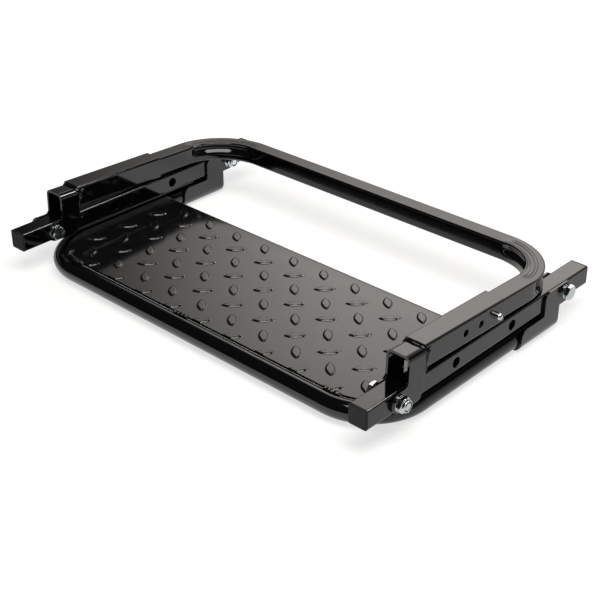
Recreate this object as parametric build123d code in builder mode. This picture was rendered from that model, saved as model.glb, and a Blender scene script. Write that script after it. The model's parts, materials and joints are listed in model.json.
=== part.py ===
"""Folding tire step: a tread platform, two arms and a telescoping hook that goes over the tyre.

Millimetres, +Z up, the floor at Z = 0, X across the step and +Y from its front bar to the hook's
back bar. The origin lies on the floor under the middle of the arms. The model is folded flat, as
it is stored: platform under the arms, hook lying on top of them.
"""
import os
from math import acos, cos, radians, sin, sqrt

from build123d import *

# Square tubes of the arms and of the hook loop
tube = 25.4
tube_wall = 2.0
tube_corner = 2.5

# Arms, with pivots measured from their ends and spare holes from their near ends
arm_spacing = 592.0
arm_length = 429.0
near_pivot_inset = 51.0
far_pivot_inset = 53.0
arm_hole_d = 13.5
arm_hole_insets = (155.0, 264.0)

# Plastic plugs in the arm ends
plug_head = 2.5
plug_edge = 0.8
plug_depth = 16.0
plug_wall = 2.0
plug_clearance = 0.15

# Round tube bent to a U under the tread
frame_tube_d = 25.4
frame_tube_wall = 2.0
frame_bend = 73.0
frame_front_inset = 34.0
frame_drop = 33.3

# Tread plate with raised lugs and a folded rear lip
plate_t = 3.0
plate_depth = 216.5
plate_gap = 0.2
lip_height = 12.0
lip_bend = 3.0
lip_side_gap = 1.0
lug_length = 29.0
lug_width = 12.0
lug_height = 1.5
lug_slope = 45.0
lug_pitch = 53.3
lug_first_row = 3.8
lug_shift = -20.2
lug_skew = 0.04

# Sheet of the four pivot brackets, and its clearances to the arms
sheet = 3.0
side_gap = 0.3
stop_gap = 0.3

# Step brackets, measured from the far pivot
step_tab_r = 13.6
step_tab_front = 45.5
step_tab_corner = 9.0
step_shelf_drop = 17.3
step_front = 92.0
step_front_corner = 12.0
step_foot_corner = 4.0
step_inner_corner = 3.0

# Hook brackets, measured from the near pivot
hook_tab_r = 13.0
hook_mouth_corner = 6.0
hook_reach = 42.0
hook_heel = 36.0
hook_heel_rise = 16.0
hook_bend = 4.5
hook_step_down = 3.6

# Sleeves and the loop that slides in them
hook_tilt = 2.0
rest_gap = 0.3
sleeve_size = 30.0
sleeve_wall = 2.0
sleeve_corner = 3.0
sleeve_length = 147.0
loop_depth = 339.0
loop_bend = 77.0
loop_tail = 40.0

# Snap clips: a spring strip inside the loop with a button through both tubes
button_d = 8.8
button_clearance = 0.1
button_sleeve_clearance = 0.3
button_proud = 8.5
button_first = 72.5
button_pitch = 28.8
button_count = 3
clip_t = 0.8
clip_width = 9.0
clip_length = 46.0
clip_tail = 12.0
clip_seat = 0.2
clip_fold = 2.4

# M10 pivot bolts, lock nuts and washers
bolt_d = 10.0
bolt_clearance = 0.05
bolt_end_chamfer = 0.8
hex_across = 17.0
head_height = 6.4
nut_height = 6.6
nut_collar = 3.4
nut_collar_d = 15.0
nut_collar_round = 1.0
nut_ring_d = 12.4
nut_ring_depth = 0.9
washer_d = 20.0
washer_t = 1.6
hex_crown = 0.94
hex_crown_slope = 62.0

# Places worked out from the dimensions above
arm_x = arm_spacing / 2
near_end = -arm_length / 2
far_end = arm_length / 2
near_pivot_y = near_end + near_pivot_inset
far_pivot_y = far_end - far_pivot_inset
leg_in = tube / 2 + side_gap
leg_out = leg_in + sheet
frame_r = frame_tube_d / 2
frame_z = leg_out
pivot_z = frame_z + frame_drop
stop_reach = tube / 2 + stop_gap
frame_front_y = near_end + frame_front_inset
bracket_rear_y = far_pivot_y - stop_reach
plate_top = frame_z + frame_r
plate_inset = sqrt(frame_r**2 - (frame_r - plate_t) ** 2) + plate_gap
plate_front_y = frame_front_y + plate_inset
plate_rear_y = plate_front_y + plate_depth
plate_half = arm_x - plate_inset
pivot_bore = bolt_d + 2 * bolt_clearance
SIDES = {"left": -1, "right": 1}

# The hook lies a little nose down, its bends resting over the inner legs of the step brackets
tilt = radians(hook_tilt)
loop_outer_bend = loop_bend + tube / 2
rest_angle = acos((loop_outer_bend - tube / 2 - leg_out) / loop_outer_bend)
rest_reach = loop_depth - loop_outer_bend * (1 - sin(rest_angle))
rest_height = max(step_tab_r, tube / 2) + rest_gap
loop_h = (rest_height + rest_reach * sin(tilt)) / cos(tilt) + tube / 2
hook_frame = Plane(
    origin=(0, near_pivot_y, pivot_z), x_dir=(1, 0, 0), z_dir=(0, sin(tilt), cos(tilt))
)
hook_top = loop_h + sleeve_size / 2 - hook_step_down
button_reach = hook_reach + button_first + (button_count - 1) * button_pitch


def hook_side(x):
    """Plane across the hook at x, drawn in reach from the pivot and height above it."""
    return Plane(hook_frame.from_local_coords((x, 0, 0)), hook_frame.y_dir, hook_frame.x_dir)


def hook_section(reach):
    """Plane square to the hook's length, drawn in x and height; its normal points at the pivot."""
    return Plane(hook_frame.from_local_coords((0, reach, 0)), hook_frame.x_dir, -hook_frame.y_dir)


def pivot_plane(side, y, direction):
    """Plane on a pivot axis at an arm's middle, its normal running from bolt head to nut."""
    return Plane((side * arm_x, y, pivot_z), (0, 1, 0), (side * direction, 0, 0))


def corner(outline, place):
    """Vertex of a sketch that is nearest to a place in it."""
    return outline.vertices().sort_by_distance(Vector(*place, 0))[0]


def save(piece, name):
    piece.label = name
    export_step(piece, f"parts/{name}.step")


def square_tube(size, wall, radius):
    """Tube section about the present location of a sketch."""
    RectangleRounded(size, size, radius)
    RectangleRounded(size - 2 * wall, size - 2 * wall, max(radius - wall, wall / 4), mode=Mode.SUBTRACT)


def platform_frame():
    """U of round tube: front bar, two bends and two sides that end in the step brackets."""
    with BuildPart() as frame:
        with BuildLine(Plane.XY.offset(frame_z)) as route:
            FilletPolyline(
                (-arm_x, bracket_rear_y),
                (-arm_x, frame_front_y),
                (arm_x, frame_front_y),
                (arm_x, bracket_rear_y),
                radius=frame_bend,
            )
        with BuildSketch(Plane(route.line @ 0, (1, 0, 0), route.line % 0)):
            Circle(frame_r)
            Circle(frame_r - frame_tube_wall, mode=Mode.SUBTRACT)
        sweep()
    return frame.part


def lug_places():
    """Middles of the lugs: two lattices, each at the middles of the other's cells. Their rows
    follow the plate's front edge, and their columns lean a little, as rolled."""
    first = plate_front_y + lug_first_row
    rows = int((plate_rear_y - lip_bend - plate_t - lug_width - first) / (lug_pitch / 2)) + 1
    columns = int(plate_half / lug_pitch) + 1
    lattices = ([], [])
    for row in range(rows):
        lean = row % 2
        for column in range(-columns, columns + 1):
            x = lug_shift + (column + (1 - lean) / 2 + row * lug_skew / 2) * lug_pitch
            if abs(x) < plate_half - lug_width:
                lattices[lean].append((x, first + row * lug_pitch / 2))
    return lattices


def tread_plate():
    """Diamond plate set into the frame, its rounded front corners inside the tube's bends."""
    bottom = plate_top - plate_t
    front_corner = frame_bend - plate_inset
    with BuildSketch() as lug:
        with BuildLine():
            ThreePointArc((-lug_length / 2, 0), (0, -lug_width / 2), (lug_length / 2, 0))
            ThreePointArc((lug_length / 2, 0), (0, lug_width / 2), (-lug_length / 2, 0))
        make_face()
    with BuildPart() as plate:
        with BuildSketch(Plane.YZ) as profile:
            with BuildLine():
                Polyline(
                    (plate_front_y, bottom),
                    (plate_front_y, plate_top),
                    (plate_rear_y, plate_top),
                    (plate_rear_y, plate_top - lip_height),
                    (plate_rear_y - plate_t, plate_top - lip_height),
                    (plate_rear_y - plate_t, bottom),
                    close=True,
                )
            make_face()
            fillet(corner(profile, (plate_rear_y, plate_top)), lip_bend + plate_t)
            fillet(corner(profile, (plate_rear_y - plate_t, bottom)), lip_bend)
        extrude(amount=plate_half, both=True)
        for lean, places in zip((45, -45), lug_places()):
            with BuildSketch(Plane.XY.offset(plate_top)):
                with Locations(*places):
                    add(lug.sketch, rotation=lean)
            extrude(amount=lug_height, taper=lug_slope)
        with BuildSketch(Plane.XY.offset(plate_top - lip_height)) as outline:
            with Locations((0, plate_front_y)):
                Rectangle(2 * plate_half, plate_depth, align=(Align.CENTER, Align.MIN))
            fillet(outline.vertices().group_by(Axis.Y)[0], front_corner)
        extrude(amount=lip_height + lug_height, mode=Mode.INTERSECT)
        lip_half = arm_x - frame_r - lip_side_gap
        with BuildSketch(Plane.XY.offset(plate_top - lip_height)):
            for side in SIDES.values():
                with Locations((side * (lip_half + plate_half) / 2, plate_rear_y)):
                    Rectangle(plate_half - lip_half, 2 * (lip_bend + plate_t))
        extrude(amount=lip_height - plate_t, mode=Mode.SUBTRACT)
    return plate.part


def step_bracket(side):
    """Sheet folded to a U round the frame tube, with tabs up both sides of the arm."""
    height = frame_drop + step_tab_r
    with BuildPart() as bracket:
        with BuildSketch(Plane.XZ.offset(-(far_pivot_y + step_tab_r))):
            with Locations((side * arm_x, frame_z)):
                Circle(leg_out)
                Rectangle(2 * leg_out, height, align=(Align.CENTER, Align.MIN))
                Circle(leg_in, mode=Mode.SUBTRACT)
                Rectangle(2 * leg_in, height, align=(Align.CENTER, Align.MIN), mode=Mode.SUBTRACT)
        extrude(amount=step_front + step_tab_r)
        with BuildSketch(Plane((side * arm_x, far_pivot_y, pivot_z), (0, 1, 0), (1, 0, 0))) as outline:
            with BuildLine():
                Polyline(
                    (0, step_tab_r),
                    (-step_tab_front, step_tab_r),
                    (-step_tab_front, -step_shelf_drop),
                    (-step_front, -step_shelf_drop),
                    (-step_front, -pivot_z),
                    (-stop_reach, -pivot_z),
                    (-stop_reach, -step_tab_r),
                    (0, -step_tab_r),
                    close=True,
                )
            make_face()
            Circle(step_tab_r)
            fillet(corner(outline, (-step_tab_front, step_tab_r)), step_tab_corner)
            fillet(corner(outline, (-step_tab_front, -step_shelf_drop)), step_inner_corner)
            fillet(corner(outline, (-step_front, -step_shelf_drop)), step_front_corner)
            fillet(corner(outline, (-step_front, -pivot_z)), step_foot_corner)
            fillet(corner(outline, (-stop_reach, -pivot_z)), step_foot_corner)
            Circle(pivot_bore / 2, mode=Mode.SUBTRACT)
        extrude(amount=leg_out, both=True, mode=Mode.INTERSECT)
    return bracket.part


def arm(side):
    """Square tube with the two pivot holes and two spare holes through its sides."""
    with BuildPart() as bar:
        with BuildSketch(Plane.XZ.offset(-(far_end - plug_head))):
            with Locations((side * arm_x, pivot_z)):
                square_tube(tube, tube_wall, tube_corner)
        extrude(amount=arm_length - 2 * plug_head)
        with BuildSketch(Plane.YZ.offset(side * arm_x)):
            with Locations((near_pivot_y, pivot_z), (far_pivot_y, pivot_z)):
                Circle(pivot_bore / 2)
            with Locations(*[(near_end + inset, pivot_z) for inset in arm_hole_insets]):
                Circle(arm_hole_d / 2)
        extrude(amount=tube, both=True, mode=Mode.SUBTRACT)
    return bar.part


def arm_plug(side, end):
    """Square plug with a flat head over the tube's end and a hollow stem inside it."""
    inner = tube - 2 * tube_wall - 2 * plug_clearance
    seat = Plane((side * arm_x, end * (arm_length / 2 - plug_head), pivot_z), (1, 0, 0), (0, end, 0))
    with BuildPart() as plug:
        with BuildSketch(seat):
            RectangleRounded(tube, tube, tube_corner)
        extrude(amount=plug_head)
        fillet(plug.faces().sort_by(Axis.Y)[-1 if end > 0 else 0].edges(), plug_edge)
        with BuildSketch(seat):
            Rectangle(inner, inner)
            Rectangle(inner - 2 * plug_wall, inner - 2 * plug_wall, mode=Mode.SUBTRACT)
        extrude(amount=-plug_depth)
    return plug.part


def hook_bracket(side):
    """Folded channel over the arm: two legs on the pivot and a web that ends at the mouth."""
    with BuildPart() as bracket:
        with BuildSketch(hook_section(hook_reach)) as section:
            with Locations((side * arm_x, -hook_tab_r)):
                Rectangle(2 * leg_out, hook_top + hook_tab_r, align=(Align.CENTER, Align.MIN))
            fillet(section.vertices().group_by(Axis.Y)[-1], hook_bend + sheet)
            with BuildSketch(mode=Mode.PRIVATE) as inside:
                with Locations((side * arm_x, -hook_tab_r)):
                    Rectangle(2 * leg_in, hook_top - sheet + hook_tab_r, align=(Align.CENTER, Align.MIN))
                fillet(inside.vertices().group_by(Axis.Y)[-1], hook_bend)
            add(inside.sketch, mode=Mode.SUBTRACT)
        extrude(amount=hook_reach + hook_tab_r)
        with BuildSketch(hook_side(side * arm_x)) as outline:
            with BuildLine():
                Polyline(
                    (0, hook_tab_r),
                    (stop_reach, hook_tab_r),
                    (stop_reach, hook_top),
                    (hook_reach, hook_top),
                    (hook_reach, hook_heel_rise),
                    (hook_heel, -hook_tab_r),
                    (0, -hook_tab_r),
                    close=True,
                )
            make_face()
            Circle(hook_tab_r)
            fillet(corner(outline, (stop_reach, hook_tab_r)), hook_mouth_corner)
            fillet(corner(outline, (hook_heel, -hook_tab_r)), hook_mouth_corner)
            Circle(pivot_bore / 2, mode=Mode.SUBTRACT)
        extrude(amount=leg_out, both=True, mode=Mode.INTERSECT)
    return bracket.part


def sleeve(side):
    """Square tube welded to the hook bracket, with a row of button holes in its outer wall."""
    with BuildPart() as outer:
        with BuildSketch(hook_section(hook_reach)):
            with Locations((side * arm_x, loop_h)):
                square_tube(sleeve_size, sleeve_wall, sleeve_corner)
        extrude(amount=-sleeve_length)
        with BuildSketch(hook_side(side * arm_x)):
            for place in range(button_count):
                with Locations((hook_reach + button_first + place * button_pitch, loop_h)):
                    Circle(button_d / 2 + button_sleeve_clearance)
        extrude(amount=side * sleeve_size, mode=Mode.SUBTRACT)
    return outer.part


def hook_loop():
    """U of square tube whose two ends slide in the sleeves, with a hole for each button."""
    back = loop_depth - tube / 2
    tail = button_reach - loop_tail
    with BuildPart() as loop:
        with BuildLine(hook_frame.offset(loop_h)) as route:
            FilletPolyline(
                (-arm_x, tail),
                (-arm_x, back),
                (arm_x, back),
                (arm_x, tail),
                radius=loop_bend,
            )
        with BuildSketch(Plane(route.line @ 0, (1, 0, 0), route.line % 0)):
            square_tube(tube, tube_wall, tube_corner)
        sweep()
        for side in SIDES.values():
            with BuildSketch(hook_side(side * arm_x)):
                with Locations((button_reach, loop_h)):
                    Circle(button_d / 2 + button_clearance)
            extrude(amount=side * tube, mode=Mode.SUBTRACT)
    return loop.part


def snap_clip(side):
    """Folded spring strip: one leg carries the domed button, the other lies on the far wall."""
    button_leg = tube / 2 - tube_wall - clip_seat - clip_t / 2
    back_leg = -button_leg
    tip = sleeve_size / 2 + button_proud
    radius = button_d / 2
    middle = hook_frame.from_local_coords((side * arm_x, button_reach, loop_h))
    with BuildPart() as clip:
        with BuildSketch(Plane(middle, (side, 0, 0), hook_frame.z_dir * side)):
            with BuildLine() as strip:
                FilletPolyline(
                    (button_leg, -clip_tail),
                    (button_leg, clip_tail),
                    (0, clip_length),
                    (back_leg, clip_tail),
                    (back_leg, -clip_tail),
                    radius=clip_fold,
                )
            trace(strip.line, line_width=clip_t)
        extrude(amount=clip_width / 2, both=True)
        with BuildSketch(Plane(middle, (side, 0, 0), hook_frame.z_dir)):
            with BuildLine():
                Polyline(
                    (tip, 0),
                    (button_leg, 0),
                    (button_leg, radius),
                    (tip - radius, radius),
                )
                RadiusArc((tip - radius, radius), (tip, 0), radius)
            make_face()
        revolve(axis=Axis(middle, (1, 0, 0)))
    return clip.part


def hexagon(plane, height, crowned):
    """Hexagon along a plane's normal, its corners turned off by a cone at the crowned end."""
    crown = plane.offset(height) if crowned > 0 else plane
    with BuildPart() as prism:
        with BuildSketch(plane):
            RegularPolygon(hex_across / 2, 6, major_radius=False)
        extrude(amount=height)
        with BuildSketch(crown):
            Circle(hex_crown * hex_across / 2)
        extrude(amount=-crowned * height, taper=-hex_crown_slope, mode=Mode.INTERSECT)
    return prism.part


def pivot_bolt(plane):
    """Hexagon bolt through the two legs of a bracket and the arm between them."""
    under_head = -(leg_out + washer_t)
    length = 2 * (leg_out + washer_t) + nut_height + nut_collar
    with BuildPart() as bolt:
        add(hexagon(plane.offset(under_head - head_height), head_height, -1))
        with BuildSketch(plane.offset(under_head)):
            Circle(bolt_d / 2)
        extrude(amount=length)
        chamfer(bolt.faces().sort_by(Axis(plane.origin, plane.z_dir))[-1].edges(), bolt_end_chamfer)
    return bolt.part


def lock_nut(plane):
    """Hexagon nut whose round collar holds a locking ring, sunk a little below its end."""
    with BuildPart() as nut:
        add(hexagon(plane.offset(leg_out + washer_t), nut_height, 1))
        with BuildSketch(plane.offset(leg_out + washer_t + nut_height)):
            Circle(nut_collar_d / 2)
        extrude(amount=nut_collar)
        fillet(nut.faces().sort_by(Axis(plane.origin, plane.z_dir))[-1].edges(), nut_collar_round)
        with BuildSketch(plane.offset(leg_out + washer_t + nut_height + nut_collar)):
            Circle(nut_ring_d / 2)
        extrude(amount=-nut_ring_depth, mode=Mode.SUBTRACT)
        with BuildSketch(plane.offset(leg_out + washer_t)):
            Circle(pivot_bore / 2)
        extrude(amount=nut_height + nut_collar, mode=Mode.SUBTRACT)
    return nut.part


def washers(y):
    """The four washers of one pivot axis, against the outer faces of the bracket legs."""
    with BuildPart() as rings:
        for side in SIDES.values():
            for x in (side * arm_x - leg_out - washer_t, side * arm_x + leg_out):
                with BuildSketch(Plane.YZ.offset(x)):
                    with Locations((y, pivot_z)):
                        Circle(washer_d / 2)
                        Circle(pivot_bore / 2, mode=Mode.SUBTRACT)
                extrude(amount=washer_t)
    return rings.part


os.makedirs("parts", exist_ok=True)
save(platform_frame(), "platform_frame")
save(tread_plate(), "tread_plate")
save(hook_loop(), "hook_loop")
save(washers(near_pivot_y), "hook_pivot_washers")
save(washers(far_pivot_y), "step_pivot_washers")
for name, side in SIDES.items():
    save(step_bracket(side), f"step_bracket_{name}")
    save(arm(side), f"arm_{name}")
    save(arm_plug(side, -1), f"arm_front_plug_{name}")
    save(arm_plug(side, 1), f"arm_rear_plug_{name}")
    save(hook_bracket(side), f"hook_bracket_{name}")
    save(sleeve(side), f"sleeve_{name}")
    save(snap_clip(side), f"snap_clip_{name}")
    save(pivot_bolt(pivot_plane(side, near_pivot_y, 1)), f"hook_pivot_bolt_{name}")
    save(lock_nut(pivot_plane(side, near_pivot_y, 1)), f"hook_pivot_nut_{name}")
    save(pivot_bolt(pivot_plane(side, far_pivot_y, -1)), f"step_pivot_bolt_{name}")
    save(lock_nut(pivot_plane(side, far_pivot_y, -1)), f"step_pivot_nut_{name}")
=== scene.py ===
"""Folding tire step, laid flat on a white floor: the CAD frame dressed for the photograph.

Every shape is worked out in millimetres, in the CAD frame, and goes into its mesh in metres: X
across the step, +Y from its front bar to the hook's back bar, +Z up from the floor.
"""
import json
from math import cos, pi, radians, sin, sqrt

import bpy
import numpy as np
from mathutils import Matrix, Vector


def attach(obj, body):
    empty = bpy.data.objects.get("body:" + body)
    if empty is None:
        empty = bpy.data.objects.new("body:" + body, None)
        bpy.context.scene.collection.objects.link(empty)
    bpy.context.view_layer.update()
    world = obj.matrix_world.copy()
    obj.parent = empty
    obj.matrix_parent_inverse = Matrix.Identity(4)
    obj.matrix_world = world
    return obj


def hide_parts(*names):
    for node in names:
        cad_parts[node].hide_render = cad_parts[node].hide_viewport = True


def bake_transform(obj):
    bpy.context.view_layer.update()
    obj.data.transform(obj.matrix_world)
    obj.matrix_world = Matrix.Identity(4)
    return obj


MM = 0.001

# Sizes repeated from the part's source
TUBE = 25.4
TUBE_WALL = 2.0
ARM_X = 296.0
NEAR_PIVOT_Y = -163.5
FAR_PIVOT_Y = 161.5
PIVOT_Z = 49.3
FRAME_R = 12.7
FRAME_FRONT_Y = -180.5
FRAME_BEND = 73.0
LEG_OUT = 16.0
PLATE_TOP = 28.7
PLATE_T = 3.0
PLATE_DEPTH = 216.5
PLATE_CLEARANCE = 0.2
PLATE_INSET = sqrt(FRAME_R**2 - (FRAME_R - PLATE_T) ** 2) + PLATE_CLEARANCE
PLATE_FRONT_Y = FRAME_FRONT_Y + PLATE_INSET
PLATE_REAR_Y = PLATE_FRONT_Y + PLATE_DEPTH
PLATE_HALF = ARM_X - PLATE_INSET
PLATE_CORNER = FRAME_BEND - PLATE_INSET
LIP_HEIGHT = 12.0
LIP_BEND = 3.0
LIP_CLEARANCE = 1.0
LIP_HALF = ARM_X - FRAME_R - LIP_CLEARANCE
LIP_TAPER = 3.0
LUG_LENGTH = 29.0
LUG_WIDTH = 12.0
LUG_HEIGHT = 1.5
LUG_PITCH = 53.3
LUG_FIRST_ROW = 3.8
LUG_SHIFT = -20.2
LUG_SKEW = 0.04
HOOK_TILT = radians(2.0)
HOOK_REACH = 42.0
SLEEVE = 30.0
SLEEVE_STEP = 3.6
LOOP_H = 37.61
HOOK_TOP = LOOP_H + SLEEVE / 2 - SLEEVE_STEP
HOOK_BEND_OUT = 7.5
BUTTON_REACH = 172.1
BUTTON_D = 8.8
BUTTON_PROUD = 8.5
BUTTON_TIP = SLEEVE / 2 + BUTTON_PROUD
WASHER_T = 1.6
NUT_HEX = 6.6
NUT_COLLAR = 3.4
NUT_END = LEG_OUT + WASHER_T + NUT_HEX + NUT_COLLAR
LOOP_DEPTH = 339.0
LOOP_BACK = LOOP_DEPTH - TUBE / 2
LOOP_BEND = 77.0
LOOP_TAIL = 132.1

# The lugs' rounded rims, straight for a share, and the foot and sink that seat them in the plate
LUG_RIM = 1.8
LUG_RIM_STRAIGHT = 0.6
LUG_FOOT = 0.6
LUG_SINK = 0.05

# The loop's corners, and how a bend made without a mandrel deforms its tube: lanes are shares of
# the half width across a wall, from the inside of the bend (-1) to the outside (1), and a fall is
# the power by which a weight drops off
LOOP_CORNER = 2.5
LOOP_BORE_CORNER = 0.6
FOLD_ONSET = 2.4
FOLD_DEPTH = 5.0
FOLD_HIGH = 0.35
FOLD_SPREAD = 0.4
FOLD_FLAT = 1.6
FOLD_RIDGE = 0.7
FOLD_RIDGE_LANE = -0.8
FOLD_RIDGE_SPREAD = 0.16
FOLD_DISH = 0.6
FOLD_DISH_LANE = -0.2
FOLD_DISH_SPREAD = 0.42
FOLD_CREASES = (-0.62, -0.38, -0.05, 0.25)
FOLD_CREASE_DEPTH = 0.3
FOLD_CREASE_SPREAD = 0.05
WALL_EDGE = 0.8
WALL_FALL = 4
MIDDLE_FALL = 1.3

# Welds: a bead's stations, draw-in and wander, the strip on the step from bracket to sleeve, the
# beads on the sleeve's sides, and the stitches round the plate
BEAD_STATION = 0.45
BEAD_POINTS = 18
BEAD_TAPER = 0.7
BEAD_WANDER = 0.12
BEAD_DRIFT = 0.03
BEAD_ROUND = 0.7
BEAD_TIP = 0.002
BEAD_MEAN = 9
SEAM_CLIMB = (0.4, 2.2)
SEAM_RUN = (0.8, 3.6)
SEAM_ENDS = 0.4
SEAM_SCALE = 2.6
SEAM_WAVE = 7.3
SEAM_SHARES = (0.5, 0.35, 0.15)
SEAM_BULGE = 1.1
SEAM_BULGE_FORWARD = 0.35
SEAM_ROOT = 0.8
SEAM_LAP = 0.3
SIDE_BEAD_RIPPLE = 3.2
SIDE_BEAD_SWELL = 0.14
SIDE_BEAD_CORNER = 3.0
SIDE_BEAD_PROUD = 0.22
SIDE_BEAD_MEAN = 7
SIDE_BEAD_SEEDS = ((1, 5), (-1, 9))
# Each run's places from the sleeve's end and from its top corner, its width and its thickness
SIDE_BEADS = (
    ((9.5, 5.5, 3.0, 2.4, 2.8, 3.6), (1.0, 0.0, -3.0, -7.0, -11.0, -14.0), 4.6, 4.2),
    ((1.0, 1.0, 1.0), (-12.0, -19.0, -26.0), 2.4, 2.4),
)
# Stretches of the groove round the plate, by length from the middle of its front
STITCHES = ((-252, -213), (-36, -9), (211, 237), (322, 340), (398, 420))
STITCH_WIDTH = 7.0
STITCH_THICK = 5.0
STITCH_RIPPLE = 6.0
STITCH_SWELL = 0.5
STITCH_SEED = 11
STITCH_SINK = 0.2
GROOVE_OUT = 0.7

# The snap clips' spring strip, and the nylon rings in the lock nuts
CLIP_GAP = 2.6
CLIP_LEG = TUBE / 2 - CLIP_GAP
CLIP_START = -12.0
CLIP_STRAIGHT = 12.0
CLIP_BEND = 46.0
CLIP_HALF_T = 0.4
CLIP_HALF_W = 4.5
CLIP_CUTS = 4
RING_R = 5.62
RING_HALF = 0.56
RING_BULGE = 0.35
RING_INSET = 0.6
CIRCLE = 36
POLE_R = 0.01

# Sizes of the finishes' patterns. Zinc's crystals and a mould's grain, about 0.1 and 0.2 mm, are
# too fine to show from here and are drawn coarser
ORANGE_PEEL = 3.846
HAZE_PATCH = 71.43
ZINC_CRYSTAL = 1.4286
MOULD_GRAIN = 1.1111

# The studio, in metres, and its levels, where 1 is white
FLOOR_HALF = 8.0
FLOOR_NEAR = 0.35
FLOOR_FAR = 0.75
FLOOR_GLOW = 0.68
# Painted shade: the floor glows less to mirrors beside the arms, from SHADE_NEAR to SHADE_FAR
SHADE_NEAR = 0.27
SHADE_FAR = 0.35
MIRROR_GLOW = 0.76
MIRROR_SHADE = 0.35
SOFT_BOX_AZIMUTH = radians(33)
SOFT_BOX_LEVEL = 2.5
SOFT_BOX_FOOT = 0.2
SWEEP_LEVEL = 0.45
ROOM_LEVEL = 0.04

# The photograph's camera, fitted to the arms' ends and the loop's edges
CAMERA_AT = (0.9681, -1.0229, 0.7984)
CAMERA_AZIMUTH = radians(42.96)
CAMERA_ELEVATION = radians(30.06)
CAMERA_ROLL = radians(-0.20)
CAMERA_LENS = 73.94
SENSOR = 36.0


def linear(code):
    """Linear RGBA of an sRGB hex colour."""
    part = np.array([int(code[i : i + 2], 16) for i in (1, 3, 5)]) / 255
    part = np.where(part <= 0.04045, part / 12.92, ((part + 0.055) / 1.055) ** 2.4)
    return (*part.tolist(), 1.0)


def add(tree, kind, settings=None, sockets=None):
    """Adds a node; a socket takes a value, or a (node, output) pair that is linked to it."""
    node = tree.nodes.new(kind)
    for name, value in (settings or {}).items():
        setattr(node, name, value)
    for name, value in (sockets or {}).items():
        if isinstance(value, tuple) and isinstance(value[0], bpy.types.Node):
            tree.links.new(value[0].outputs[value[1]], node.inputs[name])
        else:
            node.inputs[name].default_value = value
    return node


def new_finish(name):
    """A material, its emptied node tree, and the coordinates of the object that wears it."""
    finish = bpy.data.materials.new(name)
    finish.use_nodes = True
    tree = finish.node_tree
    tree.nodes.clear()
    return finish, tree, add(tree, "ShaderNodeTexCoord")


def show(tree, shader):
    """Ends a finish with its shader."""
    add(tree, "ShaderNodeOutputMaterial", sockets={"Surface": (shader, 0)})


def powder_coat(name, colour, clear, dull):
    """Gloss black polyester powder, sprayed and baked: a wet-looking film with faint orange peel.
    Its haze runs from clear to dull in wide, soft patches."""
    finish, tree, place = new_finish(name)
    peel = add(
        tree,
        "ShaderNodeTexNoise",
        sockets={
            "Vector": (place, "Object"),
            "Scale": 1 / (ORANGE_PEEL * MM),
            "Detail": 2.0,
            "Roughness": 0.5,
        },
    )
    rounded = add(tree, "ShaderNodeBevel", {"samples": 4}, {"Radius": 0.7 * MM})
    bump = add(
        tree,
        "ShaderNodeBump",
        sockets={
            "Strength": 0.035,
            "Distance": 0.4 * MM,
            "Height": (peel, 0),
            "Normal": (rounded, 0),
        },
    )
    dust = add(
        tree,
        "ShaderNodeTexNoise",
        sockets={
            "Vector": (place, "Object"),
            "Scale": 1 / (HAZE_PATCH * MM),
            "Detail": 3.0,
            "Roughness": 0.6,
        },
    )
    haze = add(
        tree,
        "ShaderNodeMapRange",
        sockets={
            "Value": (dust, 0),
            "From Min": 0.3,
            "From Max": 0.7,
            "To Min": clear,
            "To Max": dull,
        },
    )
    film = add(
        tree,
        "ShaderNodeBsdfPrincipled",
        sockets={
            "Base Color": linear(colour),
            "Roughness": (haze, 0),
            "IOR": 1.56,
            "Normal": (bump, 0),
        },
    )
    show(tree, film)
    return finish


def zinc_plate():
    """Bright zinc with a blue passivate on cold-forged steel: a soft mirror with a cool tint."""
    finish, tree, place = new_finish("blue_white_zinc_plate")
    grain = add(
        tree,
        "ShaderNodeTexNoise",
        sockets={
            "Vector": (place, "Object"),
            "Scale": 1 / (ZINC_CRYSTAL * MM),
            "Detail": 2.0,
            "Roughness": 0.6,
        },
    )
    tone = add(
        tree,
        "ShaderNodeMix",
        {"data_type": "RGBA"},
        {"Factor": (grain, 0), "A": linear("#b8c0c4"), "B": linear("#e4e9eb")},
    )
    haze = add(
        tree,
        "ShaderNodeMapRange",
        sockets={
            "Value": (grain, 0),
            "From Min": 0.3,
            "From Max": 0.7,
            "To Min": 0.11,
            "To Max": 0.22,
        },
    )
    rounded = add(tree, "ShaderNodeBevel", {"samples": 4}, {"Radius": 0.4 * MM})
    metal = add(
        tree,
        "ShaderNodeBsdfPrincipled",
        sockets={
            "Base Color": (tone, "Result"),
            "Metallic": 1.0,
            "Roughness": (haze, 0),
            "Normal": (rounded, 0),
        },
    )
    show(tree, metal)
    return finish


def plug_plastic():
    """Low-density polyethylene, moulded: dull black, as its fine mould grain shades itself."""
    finish, tree, place = new_finish("dull_black_polyethylene")
    grain = add(
        tree,
        "ShaderNodeTexNoise",
        sockets={"Vector": (place, "Object"), "Scale": 1 / (MOULD_GRAIN * MM), "Detail": 1.0},
    )
    bump = add(
        tree,
        "ShaderNodeBump",
        sockets={"Strength": 0.1, "Distance": 0.2 * MM, "Height": (grain, 0)},
    )
    plastic = add(
        tree,
        "ShaderNodeBsdfPrincipled",
        sockets={
            "Base Color": linear("#0c0c0d"),
            "Roughness": 0.62,
            "Specular IOR Level": 0.3,
            "IOR": 1.51,
            "Normal": (bump, 0),
        },
    )
    show(tree, plastic)
    return finish


def ring_nylon():
    """Polyamide 6, moulded into the nuts: smooth dark grey with a soft sheen."""
    finish, tree, _ = new_finish("dark_grey_polyamide")
    plastic = add(
        tree,
        "ShaderNodeBsdfPrincipled",
        sockets={"Base Color": linear("#23262c"), "Roughness": 0.45, "IOR": 1.53},
    )
    show(tree, plastic)
    return finish


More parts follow.
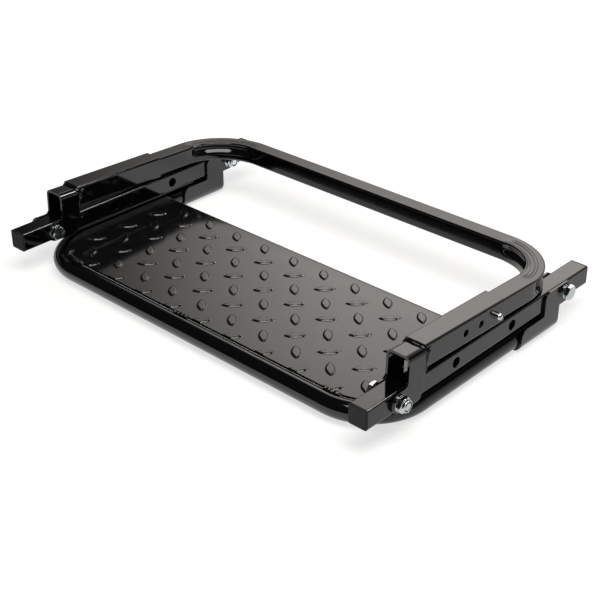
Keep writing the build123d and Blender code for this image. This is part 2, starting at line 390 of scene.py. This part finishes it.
def white_floor():
    """Matt white paper. To the camera it glows a little close to the step, where its soft shadow
    shows, and is plain white further off. To mirrors it glows too, and less beside the arms:
    painted shade in its reflections, standing in for the step's shadow on the floor there."""
    finish, tree, place = new_finish("white_paper_floor")
    paper = add(tree, "ShaderNodeBsdfDiffuse", sockets={"Color": linear("#b8b8b8")})
    away = add(tree, "ShaderNodeVectorMath", {"operation": "LENGTH"}, {0: (place, "Object")})
    near = add(
        tree,
        "ShaderNodeMapRange",
        {"interpolation_type": "SMOOTHSTEP"},
        {
            "Value": (away, "Value"),
            "From Min": FLOOR_NEAR,
            "From Max": FLOOR_FAR,
            "To Min": FLOOR_GLOW,
            "To Max": 1.0,
        },
    )
    across = add(tree, "ShaderNodeSeparateXYZ", sockets={0: (place, "Object")})
    aside = add(tree, "ShaderNodeMath", {"operation": "ABSOLUTE"}, {0: (across, "X")})
    # Painted shade: dims the floor's glow to mirrors beside the arms
    shade = add(
        tree,
        "ShaderNodeMapRange",
        {"interpolation_type": "SMOOTHSTEP"},
        {
            "Value": (aside, 0),
            "From Min": SHADE_NEAR,
            "From Max": SHADE_FAR,
            "To Min": MIRROR_GLOW,
            "To Max": MIRROR_SHADE,
        },
    )
    path = add(tree, "ShaderNodeLightPath")
    seen = (path, "Is Transmission Ray")
    for ray_kind, level in (("Is Camera Ray", near), ("Is Glossy Ray", shade)):
        lit = add(
            tree,
            "ShaderNodeMath",
            {"operation": "MULTIPLY"},
            {0: (path, ray_kind), 1: (level, 0)},
        )
        seen = (add(tree, "ShaderNodeMath", {"operation": "MAXIMUM"}, {0: seen, 1: (lit, 0)}), 0)
    glow = add(
        tree, "ShaderNodeEmission", sockets={"Color": linear("#ffffff"), "Strength": seen}
    )
    both = add(tree, "ShaderNodeAddShader", sockets={0: (paper, 0), 1: (glow, 0)})
    show(tree, both)
    return finish


def grid_faces(rows, columns, start=0, wrap=False):
    """Quads of a grid of points stored row by row; wrap joins a row's last point to its first."""
    last = columns if wrap else columns - 1
    r, c = np.meshgrid(np.arange(rows - 1), np.arange(last), indexing="ij")
    after = (c + 1) % columns
    near, far = r * columns, (r + 1) * columns
    return np.stack([near + c, near + after, far + after, far + c], -1).reshape(-1, 4) + start


def closed_faces(rings, around, turned=False):
    """Faces of a row of rings with a cap at each end; turned makes them look the other way."""
    ring = np.arange(around)
    faces = [*grid_faces(rings, around, wrap=True), ring[::-1], ring + (rings - 1) * around]
    return [face[::-1] for face in faces] if turned else faces


def join(parts):
    """One set of points and faces from several."""
    points, faces, start = [], [], 0
    for part_points, part_faces in parts:
        points.append(part_points)
        faces.extend(np.asarray(face) + start for face in part_faces)
        start += len(part_points)
    return np.concatenate(points), faces


def make_piece(name, points, faces, finish, body, slot, replaced=(), sharp=radians(35)):
    """Mesh object from points in millimetres, smooth but for edges sharper than an angle."""
    mesh = bpy.data.meshes.new(name)
    mesh.from_pydata((np.asarray(points) * MM).tolist(), [], [list(face) for face in faces])
    mesh.validate()
    mesh.materials.append(finish)
    mesh.shade_smooth()
    mesh.set_sharp_from_angle(angle=sharp)
    obj = bpy.data.objects.new(name, mesh)
    bpy.context.scene.collection.objects.link(obj)
    if body:
        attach(obj, body)
    if replaced:
        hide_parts(*replaced)
    return obj


def hook_place(x, reach, height):
    """Model coordinates of a place in the hook's own tilted frame, from its pivot."""
    return np.stack(
        [
            x,
            NEAR_PIVOT_Y + reach * cos(HOOK_TILT) + height * sin(HOOK_TILT),
            PIVOT_Z - reach * sin(HOOK_TILT) + height * cos(HOOK_TILT),
        ],
        -1,
    )


def model_place(x, y, z):
    """Model coordinates as they are."""
    return np.stack([x, y, z], -1)


def square_section(size, radius, flat=49, round_points=5):
    """Rounded square: points on four flats and four quarter circles, counter-clockwise."""
    half = size / 2
    centre = half - radius
    run = np.linspace(-centre, centre, flat)
    turn = np.linspace(0, pi / 2, round_points + 2)[1:-1]
    side = np.stack([np.full(flat, half), run], -1)
    bend = np.stack([centre + radius * np.cos(turn), centre + radius * np.sin(turn)], -1)
    quarter = np.concatenate([side, bend])
    sides = []
    for quarters in range(4):
        a, b = cos(quarters * pi / 2), sin(quarters * pi / 2)
        sides.append(quarter @ np.array([[a, b], [-b, a]]))
    return np.concatenate(sides)


def loop_route():
    """Stations along the loop, legs, bends and back: x, reach, the outward heading in the hook's
    plane, and the share of a bend that is behind, or -1 on a straight."""
    straight = LOOP_BACK - LOOP_BEND
    turn = np.linspace(0, pi / 2, 49)
    centre = ARM_X - LOOP_BEND
    leg = np.linspace(LOOP_TAIL, straight, 12)[:-1]
    back = np.linspace(-centre, centre, 24)[1:-1]
    x = np.concatenate(
        [
            np.full(leg.size, -ARM_X),
            -centre - LOOP_BEND * np.cos(turn),
            back,
            centre + LOOP_BEND * np.sin(turn),
            np.full(leg.size, ARM_X),
        ]
    )
    reach = np.concatenate(
        [
            leg,
            straight + LOOP_BEND * np.sin(turn),
            np.full(back.size, LOOP_BACK),
            straight + LOOP_BEND * np.cos(turn),
            leg[::-1],
        ]
    )
    heading = np.concatenate(
        [
            np.full(leg.size, pi),
            pi - turn,
            np.full(back.size, pi / 2),
            pi / 2 - turn,
            np.zeros(leg.size),
        ]
    )
    on_leg, on_back = np.full(leg.size, -1.0), np.full(back.size, -1.0)
    in_bend = turn / (pi / 2)
    return x, reach, heading, np.concatenate([on_leg, in_bend, on_back, in_bend, on_leg])


def loop_mesh():
    """Square tube carried round the loop's route. In a bend the inner wall is pressed in along a
    soft groove, deepest above its middle, the outer wall is flattened a little, and the walls
    above and below are dished along their middles, with a low ridge and fine creases beside the
    groove. The folds grow smoothly from both ends of a bend."""
    x, reach, heading, share = loop_route()
    bent = np.where(share >= 0, np.sin(pi * np.clip(share, 0, 1)), 0)
    folded = np.clip(FOLD_ONSET * bent, 0, 1)
    folded = (folded * folded * (3 - 2 * folded))[:, None]
    shells = []
    for section in (
        square_section(TUBE, LOOP_CORNER),
        square_section(TUBE - 2 * TUBE_WALL, LOOP_BORE_CORNER),
    ):
        out, up = section[:, 0], section[:, 1]
        half = np.abs(section).max()
        lane, level = out / half, up / half
        groove = np.exp(-(((level - FOLD_HIGH) / FOLD_SPREAD) ** 2))
        middle = np.cos(pi / 2 * np.clip(level, -1, 1)) ** MIDDLE_FALL
        inner_wall = np.clip(-lane, 0, 1) ** WALL_FALL
        outer_wall = np.clip(lane, 0, 1) ** WALL_FALL
        press = FOLD_DEPTH * inner_wall * groove - FOLD_FLAT * outer_wall * middle
        ridge = np.exp(-(((lane - FOLD_RIDGE_LANE) / FOLD_RIDGE_SPREAD) ** 2))
        dish = np.exp(-(((lane - FOLD_DISH_LANE) / FOLD_DISH_SPREAD) ** 2))
        wrinkle = FOLD_RIDGE * ridge - FOLD_DISH * dish
        for crease in FOLD_CREASES:
            line = np.exp(-(((lane - crease) / FOLD_CREASE_SPREAD) ** 2))
            wrinkle = wrinkle - FOLD_CREASE_DEPTH * line
        flats = np.sign(up) * np.clip((np.abs(level) - WALL_EDGE) / (1 - WALL_EDGE), 0, 1)
        across = out + folded * press
        height = up + folded * (flats * wrinkle)
        at_x = x[:, None] + across * np.cos(heading)[:, None]
        at_reach = reach[:, None] + across * np.sin(heading)[:, None]
        shells.append(hook_place(at_x, at_reach, LOOP_H + height))
    stations, around = shells[0].shape[:2]
    points = np.concatenate([shell.reshape(-1, 3) for shell in shells])
    count = stations * around
    skin = grid_faces(stations, around, wrap=True)
    bore = grid_faces(stations, around, count, wrap=True)[:, ::-1]
    ring = np.arange(around)
    after = (ring + 1) % around
    tail = np.stack([ring, count + ring, count + after, after], -1)
    head = np.stack([ring, after, count + after, count + ring], -1) + (stations - 1) * around
    return points, np.concatenate([skin, bore, tail, head])


def onto_plate(x, y):
    """Moves places outside the plate's outline to its edge, along the radius in a front corner."""
    x = np.clip(x, -PLATE_HALF, PLATE_HALF)
    y = np.maximum(y, PLATE_FRONT_Y)
    centre_x = np.sign(x) * (PLATE_HALF - PLATE_CORNER)
    centre_y = PLATE_FRONT_Y + PLATE_CORNER
    dx, dy = x - centre_x, y - centre_y
    away = np.hypot(dx, dy)
    in_corner = (np.abs(x) > PLATE_HALF - PLATE_CORNER) & (y < centre_y)
    pull = np.where(in_corner & (away > PLATE_CORNER), PLATE_CORNER / np.maximum(away, 1e-6), 1)
    return centre_x + dx * pull, centre_y + dy * pull


def lug_places():
    """Middles and leans of the lugs: two lattices, each at the middles of the other's cells.
    Their rows follow the plate's front edge, and their columns lean a little, as rolled."""
    first = PLATE_FRONT_Y + LUG_FIRST_ROW
    room = PLATE_REAR_Y - LIP_BEND - PLATE_T - LUG_WIDTH - first
    rows = int(room / (LUG_PITCH / 2)) + 1
    columns = int(PLATE_HALF / LUG_PITCH) + 1
    row, column = np.meshgrid(np.arange(rows), np.arange(-columns, columns + 1), indexing="ij")
    odd = row % 2
    x = LUG_SHIFT + (column + (1 - odd) / 2 + row * LUG_SKEW / 2) * LUG_PITCH
    y = first + row * LUG_PITCH / 2
    keep = np.abs(x) < PLATE_HALF - LUG_WIDTH
    return x[keep], y[keep], np.where(odd == 0, pi / 4, -pi / 4)[keep]


def bare_plate():
    """Section of the plate, flat and turned down into a lip at the rear, carried along X. The
    front edge follows the rounded corners, and the lip is a little narrower than the plate."""
    bend = np.linspace(pi / 2, 0, 9)
    low = PLATE_TOP - LIP_HEIGHT
    outer, inner = LIP_BEND + PLATE_T, LIP_BEND
    centre_y, centre_z = PLATE_REAR_Y - outer, PLATE_TOP - outer
    flat_y = np.linspace(PLATE_FRONT_Y, centre_y, 7)[:-1]
    section_y = np.concatenate(
        [
            flat_y,
            centre_y + outer * np.cos(bend),
            [PLATE_REAR_Y, PLATE_REAR_Y - PLATE_T],
            centre_y + inner * np.cos(bend[::-1]),
            flat_y[::-1],
        ]
    )
    section_z = np.concatenate(
        [
            np.full(flat_y.size, PLATE_TOP),
            centre_z + outer * np.sin(bend),
            [low, low],
            centre_z + inner * np.sin(bend[::-1]),
            np.full(flat_y.size, PLATE_TOP - PLATE_T),
        ]
    )
    straight = PLATE_HALF - PLATE_CORNER
    corner_x = straight + PLATE_CORNER * np.sin(np.linspace(0, pi / 2, 15))
    x = np.concatenate([-corner_x[::-1], np.linspace(-1, 1, 15)[1:-1] * straight, corner_x])
    over = np.clip(np.abs(x) - straight, 0, PLATE_CORNER)
    edge_y = (PLATE_FRONT_Y + PLATE_CORNER - np.sqrt(PLATE_CORNER**2 - over**2))[:, None]
    share = np.clip((section_y - PLATE_FRONT_Y) / (centre_y - PLATE_FRONT_Y), 0, None)
    y = np.where(share <= 1, edge_y + share * (centre_y - edge_y), section_y)
    narrow = np.clip((PLATE_TOP - PLATE_T - section_z) / LIP_TAPER, 0, 1)
    wide = 1 - narrow * (1 - LIP_HALF / PLATE_HALF)
    points = np.stack([x[:, None] * wide, y, np.broadcast_to(section_z, y.shape)], -1)
    return points.reshape(-1, 3), closed_faces(x.size, section_y.size, turned=True)


def plate_lugs():
    """Each lug is a lens between two arcs, turned to its lean: flat on top, its rim rounded and
    falling to nothing at the outline, and closed by a foot inside the plate."""
    arc = (LUG_LENGTH**2 / 4 + LUG_WIDTH**2 / 4) / LUG_WIDTH
    along = np.sin(np.linspace(-1, 1, 23) * pi / 2)[:, None] * LUG_LENGTH / 2
    over = np.sin(np.linspace(-1, 1, 17) * pi / 2)[None]
    wide = np.sqrt(arc**2 - along**2) - (arc - LUG_WIDTH / 2)
    rim = np.clip((1 - np.abs(over)) * wide / LUG_RIM, 0, 1)
    smooth = rim * rim * (3 - 2 * rim)
    rise = LUG_HEIGHT * (LUG_RIM_STRAIGHT * rim + (1 - LUG_RIM_STRAIGHT) * smooth)
    rise = np.concatenate([rise, np.full((rise.shape[0], 2), -LUG_FOOT)], 1)
    over = np.concatenate([over, [[1.0, -1.0]]], 1)
    u = np.broadcast_to(along, rise.shape).ravel()
    v = (over * wide).ravel()
    at_x, at_y, lean = lug_places()
    turn_x, turn_y = np.cos(lean)[:, None], np.sin(lean)[:, None]
    x, y = onto_plate(
        at_x[:, None] + u * turn_x - v * turn_y, at_y[:, None] + u * turn_y + v * turn_x
    )
    z = np.broadcast_to(PLATE_TOP - LUG_SINK + rise.ravel(), x.shape)
    shell = grid_faces(*rise.shape, wrap=True)[:, ::-1]
    many = shell[None] + (np.arange(at_x.size) * rise.size)[:, None, None]
    return np.stack([x, y, z], -1).reshape(-1, 3), many.reshape(-1, 4)


def bead_mesh(path, out, width, thick, ripple, swell, seed):
    """Weld bead: an ellipse carried along a path, its short axis along out, swelling with each
    overlapping scale of the weld, wandering a little and drawn in to a point at both ends."""
    path, out = np.asarray(path, float), np.asarray(out, float)
    step = np.r_[0, np.cumsum(np.linalg.norm(np.diff(path, axis=0), axis=1))]
    length = step[-1]
    count = max(int(length / BEAD_STATION), 12)
    t = np.linspace(0, length, count)
    line = np.stack([np.interp(t, step, path[:, k]) for k in range(3)], -1)
    ahead = np.gradient(line, axis=0)
    ahead /= np.linalg.norm(ahead, axis=1)[:, None]
    above = out - ahead * (ahead @ out)[:, None]
    above /= np.linalg.norm(above, axis=1)[:, None]
    aside = np.cross(above, ahead)
    draw = np.random.default_rng(seed)
    phase = t / ripple + np.cumsum(draw.normal(0, BEAD_DRIFT, count))
    scale = 1 - swell + swell * np.abs(np.sin(pi * phase)) ** BEAD_ROUND
    ends = np.clip(np.minimum(t, length - t) / (BEAD_TAPER * width), 0, 1)
    scale = scale * np.sqrt(np.clip(1 - (1 - ends) ** 2, BEAD_TIP, 1))
    wander = np.convolve(draw.normal(0, 1, count), np.ones(BEAD_MEAN) / BEAD_MEAN, "same")
    wander = wander * BEAD_WANDER * width * ends
    turn = np.linspace(0, 2 * pi, BEAD_POINTS, endpoint=False)
    ring = (
        aside[:, None] * (np.cos(turn) * width / 2)[None, :, None]
        + above[:, None] * (np.sin(turn) * thick / 2)[None, :, None]
    )
    points = line[:, None] + ring * scale[:, None, None] + (aside * wander[:, None])[:, None]
    return points.reshape(-1, 3), closed_faces(count, BEAD_POINTS)


def seam_fillet(side):
    """Weld on the step from bracket to sleeve: a swelling strip from the bracket's top to the
    sleeve's end, carried along the bracket's rounded outline and thinning out down its sides. Its
    scales are a short ripple and a longer wave along it, and its root lies inside both pieces."""
    centre_x, centre_h = LEG_OUT - HOOK_BEND_OUT, HOOK_TOP - HOOK_BEND_OUT
    turn = np.linspace(0, pi / 2, 22)
    run = np.linspace(-centre_x, centre_x, 40)[1:-1]
    normal_x = np.concatenate([-np.cos(turn), 0 * run, np.sin(turn)])
    normal_h = np.concatenate([np.sin(turn), 0 * run + 1, np.cos(turn)])
    corner_x = np.concatenate([0 * turn - centre_x, run, 0 * turn + centre_x])
    x = corner_x + HOOK_BEND_OUT * normal_x
    h = centre_h + HOOK_BEND_OUT * normal_h
    along = np.r_[0, np.cumsum(np.hypot(np.diff(x), np.diff(h)))]
    ends = np.sin(pi * np.clip(along / along[-1], 0, 1)) ** SEAM_ENDS
    climb = (SEAM_CLIMB[0] + SEAM_CLIMB[1] * ends)[:, None]
    back = (SEAM_RUN[0] + SEAM_RUN[1] * ends)[:, None]
    ripple = np.abs(np.sin(pi * along / SEAM_SCALE))
    wave = np.sin(pi * along / SEAM_WAVE)
    level, rippled, waved = SEAM_SHARES
    scales = level + rippled * ripple + waved * wave
    swell = (scales * ends)[:, None]
    t = np.linspace(0, 1, 8)
    rise = climb * t + SEAM_BULGE * swell * np.sin(pi * t)
    reach = HOOK_REACH - back * (1 - t) - SEAM_BULGE_FORWARD * swell * np.sin(pi * t)
    rise = np.concatenate([rise, np.full((x.size, 2), -SEAM_ROOT)], 1)
    lap = np.full((x.size, 1), HOOK_REACH + SEAM_LAP)
    reach = np.concatenate([reach, lap, reach[:, :1]], 1)
    at_x = side * ARM_X + x[:, None] + normal_x[:, None] * rise
    points = hook_place(at_x, reach, h[:, None] + normal_h[:, None] * rise)
    return points.reshape(-1, 3), closed_faces(*rise.shape, turned=True)


def seam_side_bead(side, face, seed):
    """Weld on a side of the sleeve: a bead that hooks back from the bracket's edge under the
    sleeve's top corner, and a thin run from it down that edge, both smoothed by a running mean."""
    parts = []
    for reach, height, width, thick in SIDE_BEADS:
        knots = np.linspace(0, 1, len(reach))
        t = np.linspace(0, 1, 40)
        r = HOOK_REACH + np.interp(t, knots, reach)
        h = HOOK_TOP - SIDE_BEAD_CORNER + np.interp(t, knots, height)
        mean = np.ones(SIDE_BEAD_MEAN) / SIDE_BEAD_MEAN
        inside = slice(SIDE_BEAD_MEAN // 2, -(SIDE_BEAD_MEAN // 2))
        r[inside] = np.convolve(r, mean, "valid")
        h[inside] = np.convolve(h, mean, "valid")
        x = np.full(t.size, side * ARM_X + face * (SLEEVE / 2 + SIDE_BEAD_PROUD * thick))
        path = hook_place(x, r, h)
        out = (face, 0, 0)
        parts.append(bead_mesh(path, out, width, thick, SIDE_BEAD_RIPPLE, SIDE_BEAD_SWELL, seed))
    return join(parts)


def groove_path(start, end):
    """Places in the groove between the plate's front edge and the tube, by length along it from
    the middle of the front: straight, then round a front corner, then back along a side."""
    s = np.linspace(start, end, 40)
    straight = PLATE_HALF - PLATE_CORNER
    radius = PLATE_CORNER + GROOVE_OUT
    over = np.clip((np.abs(s) - straight) / radius, 0, pi / 2)
    beyond = np.clip(np.abs(s) - straight - radius * pi / 2, 0, None)
    x = np.sign(s) * (np.clip(np.abs(s), 0, straight) + radius * np.sin(over))
    y = PLATE_FRONT_Y + PLATE_CORNER - radius * np.cos(over) + beyond
    return np.stack([x, y, np.full(s.size, PLATE_TOP - STITCH_SINK)], -1)


def stitch_welds():
    """Short beads in the groove, each with its own ripples."""
    return join(
        [
            bead_mesh(
                groove_path(start, end),
                (0, 0, 1),
                STITCH_WIDTH,
                STITCH_THICK,
                STITCH_RIPPLE,
                STITCH_SWELL,
                STITCH_SEED + number,
            )
            for number, (start, end) in enumerate(STITCHES)
        ]
    )


def turned_points(at, profile_x, profile_r, place):
    """Profile turned about a line along X: x from the profile, the circle square to it."""
    turn = np.linspace(0, 2 * pi, CIRCLE, endpoint=False)
    x = np.broadcast_to(at[0] + profile_x[:, None], (profile_x.size, CIRCLE))
    across = at[1] + profile_r[:, None] * np.cos(turn)
    height = at[2] + profile_r[:, None] * np.sin(turn)
    return place(x, across, height).reshape(-1, 3)


def clip_strip(side):
    """Spring strip folded to a U inside the loop, its corners rounded by cutting them again and
    again, and its oblong section carried along that line."""
    line = np.array(
        [
            (CLIP_LEG, CLIP_START),
            (CLIP_LEG, CLIP_STRAIGHT),
            (0.0, CLIP_BEND),
            (-CLIP_LEG, CLIP_STRAIGHT),
            (-CLIP_LEG, CLIP_START),
        ]
    )
    for _ in range(CLIP_CUTS):
        a, b = line[:-1], line[1:]
        cut = np.stack([0.75 * a + 0.25 * b, 0.25 * a + 0.75 * b], 1).reshape(-1, 2)
        line = np.concatenate([line[:1], cut, line[-1:]])
    ahead = np.gradient(line, axis=0)
    ahead /= np.linalg.norm(ahead, axis=1)[:, None]
    normal = np.stack([ahead[:, 1], -ahead[:, 0]], -1) * CLIP_HALF_T
    edge = np.stack([line + normal, line + normal, line - normal, line - normal], 1)
    tall = np.array([-1, 1, 1, -1]) * CLIP_HALF_W
    points = hook_place(
        side * (ARM_X + edge[..., 0]),
        BUTTON_REACH + edge[..., 1],
        LOOP_H + np.broadcast_to(tall, edge.shape[:2]),
    )
    return points.reshape(-1, 3), closed_faces(line.shape[0], tall.size, turned=side > 0)


def clip_button(side):
    """Button on the strip's outer leg: a cylinder that ends in half a ball, turned about its
    own axis and closed at a small pole."""
    radius = BUTTON_D / 2
    dome = np.linspace(0, pi / 2, 13)[1:]
    shoulder = BUTTON_TIP - radius
    shank = np.linspace(CLIP_LEG, shoulder, 5)
    out = np.r_[CLIP_LEG, shank, shoulder + radius * np.sin(dome)]
    wide = np.r_[POLE_R, np.full(shank.size, radius), radius * np.cos(dome[:-1]), POLE_R]
    at = (side * ARM_X, BUTTON_REACH, LOOP_H)
    points = turned_points(at, side * out, wide, hook_place)
    return points, closed_faces(out.size, CIRCLE, turned=side < 0)


def nylon_ring(x, y, out):
    """Locking ring in a nut's collar: an oval section turned about the bolt."""
    turn = np.linspace(0, 2 * pi, 15)
    bulge = out * RING_BULGE * np.sin(turn)
    rim = RING_R + RING_HALF * np.cos(turn)
    points = turned_points((x, y, PIVOT_Z), bulge, rim, model_place)
    faces = grid_faces(turn.size, CIRCLE, wrap=True)
    return points, faces if out > 0 else faces[:, ::-1]


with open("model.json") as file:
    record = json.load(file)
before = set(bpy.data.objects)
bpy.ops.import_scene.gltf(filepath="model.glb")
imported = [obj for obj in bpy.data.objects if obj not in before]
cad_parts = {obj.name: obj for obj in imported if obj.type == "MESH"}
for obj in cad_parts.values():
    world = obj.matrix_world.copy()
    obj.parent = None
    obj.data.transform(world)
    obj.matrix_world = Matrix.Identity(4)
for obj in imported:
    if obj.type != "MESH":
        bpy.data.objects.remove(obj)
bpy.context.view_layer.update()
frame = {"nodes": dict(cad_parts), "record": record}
scene = bpy.context.scene
scene.view_settings.view_transform = "Standard"

coat = powder_coat("gloss_black_powder_coat", "#060607", 0.06, 0.1)
# The mill's rolling leaves the plate less smooth than drawn tube, and so the coat on it. Its
# base is a shade lighter than the tube's coat: painted light, standing in for lamp light it lacks
plate_coat = powder_coat("black_powder_coat_on_rolled_plate", "#101011", 0.09, 0.13)
zinc = zinc_plate()
plastic = plug_plastic()
nylon = ring_nylon()
FINISHES = {
    "black_powder_coat": coat,
    "black_plastic": plastic,
    "zinc_plate": zinc,
    "button_steel": zinc,
}
for subpart in frame["record"]["subparts"]:
    node = frame["nodes"][subpart["node"]]
    node.data.materials.clear()
    node.data.materials.append(FINISHES[subpart["material_slot"]])

tread = join([bare_plate(), plate_lugs()])
make_piece("tread", *tread, plate_coat, "platform", "black_powder_coat", ["tread_plate"])
make_piece(
    "loop",
    *loop_mesh(),
    coat,
    "loop",
    "black_powder_coat",
    ["hook_loop"],
    sharp=radians(50),
)
for label, side in (("left", -1), ("right", 1)):
    side_beads = [seam_side_bead(side, face, seed + side) for face, seed in SIDE_BEAD_SEEDS]
    seam = join([seam_fillet(side), *side_beads])
    make_piece(
        f"hook_seam_weld_{label}", *seam, coat, "hook", "black_powder_coat", sharp=radians(60)
    )
    clip = make_piece(
        f"snap_button_{label}",
        *join([clip_strip(side), clip_button(side)]),
        zinc,
        None,
        "button_steel",
        [f"snap_clip_{label}"],
        sharp=radians(50),
    )
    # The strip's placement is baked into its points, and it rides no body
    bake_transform(clip)
    make_piece(
        f"hook_nut_ring_{label}",
        *nylon_ring(side * (ARM_X + NUT_END - RING_INSET), NEAR_PIVOT_Y, side),
        nylon,
        "hook",
        "black_plastic",
    )
    make_piece(
        f"step_nut_ring_{label}",
        *nylon_ring(side * (ARM_X - NUT_END + RING_INSET), FAR_PIVOT_Y, -side),
        nylon,
        "platform",
        "black_plastic",
    )
make_piece(
    "tread_stitch_welds",
    *stitch_welds(),
    coat,
    "platform",
    "black_powder_coat",
    sharp=radians(60),
)

floor_corners = np.array([(-1, -1, 0), (1, -1, 0), (1, 1, 0), (-1, 1, 0)]) * FLOOR_HALF
floor_mesh = bpy.data.meshes.new("floor")
floor_mesh.from_pydata(floor_corners.tolist(), [], [(0, 1, 2, 3)])
floor_mesh.materials.append(white_floor())
floor = bpy.data.objects.new("floor", floor_mesh)
scene.collection.objects.link(floor)

# The room's brightness over direction: a wide soft box low behind the step, the paper sweep turned
# up low behind its right side, and dark elsewhere
world = bpy.data.worlds.new("studio")
scene.world = world
world.use_nodes = True
sky = world.node_tree
sky.nodes.clear()
ray = add(sky, "ShaderNodeTexCoord")
leftward = (-cos(SOFT_BOX_AZIMUTH), -sin(SOFT_BOX_AZIMUTH), 0.0)
ahead = (-sin(SOFT_BOX_AZIMUTH), cos(SOFT_BOX_AZIMUTH), 0.0)
side_way, front_way = (
    add(
        sky,
        "ShaderNodeVectorMath",
        {"operation": "DOT_PRODUCT"},
        {0: (ray, "Generated"), 1: direction},
    )
    for direction in (leftward, ahead)
)
turned = add(
    sky,
    "ShaderNodeMath",
    {"operation": "ARCTAN2"},
    {0: (side_way, "Value"), 1: (front_way, "Value")},
)
split = add(sky, "ShaderNodeSeparateXYZ", sockets={0: (ray, "Generated")})
azimuth, rise = (turned, 0), (split, "Z")
# Each edge: what it runs along, where it starts and is done, and the level that it starts from
SOFT_BOX_EDGES = (
    (azimuth, radians(25), radians(4), 0.0),
    (azimuth, radians(-60), radians(-30), 0.0),
    (rise, sin(radians(16)), sin(radians(29)), SOFT_BOX_FOOT),
    (rise, sin(radians(50)), sin(radians(30)), 0.0),
)
SWEEP_EDGES = (
    (azimuth, radians(-45), radians(-65), 0.0),
    (azimuth, radians(-115), radians(-90), 0.0),
    (rise, sin(radians(20)), sin(radians(15)), 0.0),
)
room = ROOM_LEVEL
for edges, level in ((SOFT_BOX_EDGES, SOFT_BOX_LEVEL), (SWEEP_EDGES, SWEEP_LEVEL)):
    panel = 1.0
    for value, start, done, low in edges:
        fade = add(
            sky,
            "ShaderNodeMapRange",
            {"interpolation_type": "SMOOTHSTEP"},
            {"Value": value, "From Min": start, "From Max": done, "To Min": low, "To Max": 1.0},
        )
        product = add(sky, "ShaderNodeMath", {"operation": "MULTIPLY"}, {0: panel, 1: (fade, 0)})
        panel = (product, 0)
    total = add(
        sky, "ShaderNodeMath", {"operation": "MULTIPLY_ADD"}, {0: panel, 1: level, 2: room}
    )
    room = (total, 0)
studio = add(
    sky, "ShaderNodeBackground", sockets={"Color": linear("#fff9f3"), "Strength": room}
)
backdrop = add(sky, "ShaderNodeBackground", sockets={"Color": linear("#ffffff"), "Strength": 1.0})
path = add(sky, "ShaderNodeLightPath")
seen = add(
    sky,
    "ShaderNodeMixShader",
    sockets={0: (path, "Is Camera Ray"), 1: (studio, 0), 2: (backdrop, 0)},
)
add(sky, "ShaderNodeOutputWorld", sockets={"Surface": (seen, 0)})


def lamp(name, at, towards, width, length, power, colour):
    """Oblong soft box at a place, turned towards another."""
    data = bpy.data.lights.new(name, "AREA")
    data.shape = "RECTANGLE"
    data.size, data.size_y = width, length
    data.energy = power
    data.color = linear(colour)[:3]
    obj = bpy.data.objects.new(name, data)
    obj.location = at
    obj.rotation_euler = (Vector(towards) - Vector(at)).to_track_quat("-Z", "Y").to_euler()
    scene.collection.objects.link(obj)
    return obj


# Overhead on the camera's side: it throws the back bar's soft shadow and lights the lugs' rims
lamp(
    "overhead_lamp",
    at=(0.85, -0.5, 2.4),
    towards=(0.1, 0.1, 0.0),
    width=2.2,
    length=1.5,
    power=55,
    colour="#fffdfa",
)
# A small one behind, which shows as thin lines on the left arm's edges and casts no shadow
edge_lamp = lamp(
    "edge_lamp",
    at=(0.69, 1.0, 1.72),
    towards=(0.0, 0.0, 0.0),
    width=0.45,
    length=0.5,
    power=16,
    colour="#f6f9ff",
)
edge_lamp.visible_diffuse = False

eye = bpy.data.cameras.new("photo_camera")
eye.lens = CAMERA_LENS
eye.sensor_width = SENSOR
camera = bpy.data.objects.new("photo_camera", eye)
back = Vector(
    (
        sin(CAMERA_AZIMUTH) * cos(CAMERA_ELEVATION),
        -cos(CAMERA_AZIMUTH) * cos(CAMERA_ELEVATION),
        sin(CAMERA_ELEVATION),
    )
)
right = Vector((0, 0, 1)).cross(back).normalized()
up = back.cross(right)
across = right * cos(CAMERA_ROLL) + up * sin(CAMERA_ROLL)
upward = up * cos(CAMERA_ROLL) - right * sin(CAMERA_ROLL)
axes = Matrix((across, upward, back)).transposed()
camera.matrix_world = Matrix.Translation(CAMERA_AT) @ axes.to_4x4()
scene.collection.objects.link(camera)
scene.camera = camera
